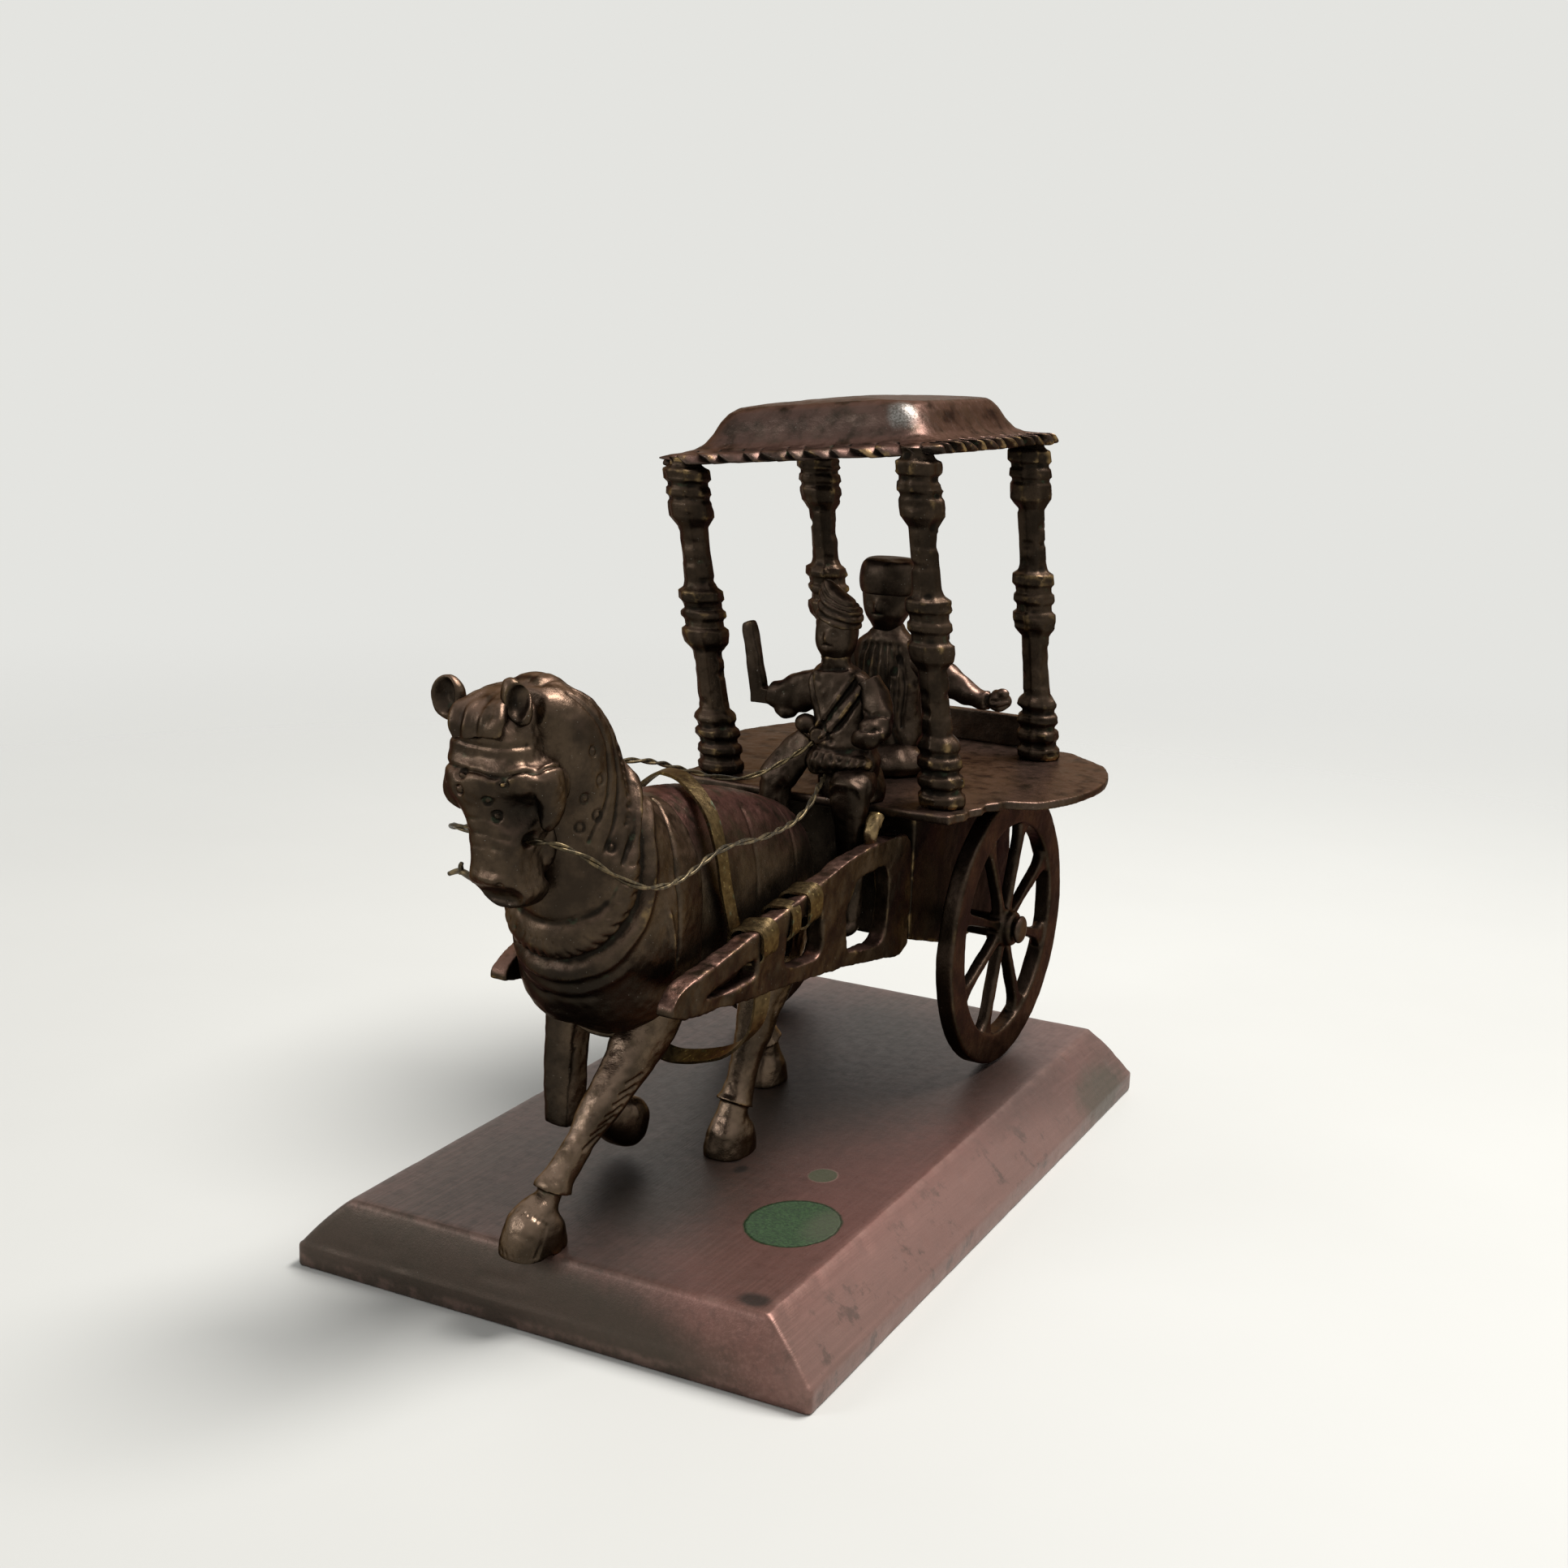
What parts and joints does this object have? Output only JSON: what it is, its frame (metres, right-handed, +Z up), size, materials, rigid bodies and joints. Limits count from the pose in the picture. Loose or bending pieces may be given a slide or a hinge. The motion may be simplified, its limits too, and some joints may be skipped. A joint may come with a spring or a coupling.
{
  "type": "horse-drawn passenger cart figurine",
  "caption": "Cast-bronze figurine of a trotting horse drawing a canopied cart with a driver and a passenger, on a bevelled plate; the cart's wheels turn on their axle.",
  "frame": {"origin": "centre of the plate's flat underside", "axes": "+Z up, -Y the way the horse faces along the cart's axis, +X the horse's left"},
  "size_m": [0.085, 0.1417, 0.1201],
  "materials": {
    "plate_bronze": "brushed, patinated brown with pale worn edges",
    "horse_bronze": "dark brown patina, brushed and worn bright on the high spots",
    "cart_bronze": "dark brown patina with golden worn edges",
    "wheel_bronze": "dark brown patina, rough cast",
    "figure_bronze": "dark brown patina with bright high spots",
    "strap_brass": "dull olive brass strip",
    "wire_bronze": "twisted wire, brown"
  },
  "bodies": {
    "root": {"axle": "wheel_bronze", "axle_cap_left": "wheel_bronze", "axle_cap_right": "wheel_bronze", "back_board": "cart_bronze", "base_plate": "plate_bronze", "belly_strap": "strap_brass", "bit_wire": "wire_bronze", "breast_collar": "horse_bronze", "cart_body": "cart_bronze", "deck": "cart_bronze", "driver_arm_left": "figure_bronze", "driver_arm_right": "figure_bronze", "driver_coat": "figure_bronze", "driver_head": "figure_bronze", "driver_leg_left": "figure_bronze", "driver_leg_right": "figure_bronze", "driver_rein_hand": "figure_bronze", "driver_turban": "figure_bronze", "ear_left": "horse_bronze", "ear_right": "horse_bronze", "forelock": "horse_bronze", "girth_strap": "strap_brass", "horse_barrel": "horse_bronze", "horse_head": "horse_bronze", "horse_neck": "horse_bronze", "leg_fore_left": "horse_bronze", "leg_fore_right": "horse_bronze", "leg_hind_left": "horse_bronze", "leg_hind_right": "horse_bronze", "pillar_front_left": "cart_bronze", "pillar_front_right": "cart_bronze", "pillar_rear_left": "cart_bronze", "pillar_rear_right": "cart_bronze", "rein_left": "wire_bronze", "rein_right": "wire_bronze", "rider_arm_left": "figure_bronze", "rider_arm_right": "figure_bronze", "rider_cap": "figure_bronze", "rider_coat": "figure_bronze", "rider_head": "figure_bronze", "rider_lap": "figure_bronze", "roof": "cart_bronze", "shaft_bar_left": "cart_bronze", "shaft_bar_right": "cart_bronze", "shaft_peg_left": "cart_bronze", "shaft_peg_right": "cart_bronze", "shaft_posts_left": "cart_bronze", "shaft_posts_right": "cart_bronze", "shaft_stay_left": "cart_bronze", "shaft_stay_right": "cart_bronze", "strap_wrap_left": "strap_brass", "strap_wrap_right": "strap_brass", "tail": "horse_bronze", "whip_grip": "figure_bronze"},
    "left_wheel": {"left_wheel_rim": "wheel_bronze", "left_wheel_spokes": "wheel_bronze"},
    "right_wheel": {"right_wheel_rim": "wheel_bronze", "right_wheel_spokes": "wheel_bronze"}
  },
  "joints": [
    {"name": "left_wheel_spin", "type": "hinge", "parent": "root", "child": "left_wheel", "pos_m": [0.0217, 0.0397, 0.0339], "axis": [1, 0, 0], "continuous": true},
    {"name": "right_wheel_spin", "type": "hinge", "parent": "root", "child": "right_wheel", "pos_m": [-0.0217, 0.0397, 0.0339], "axis": [1, 0, 0], "continuous": true}
  ]
}
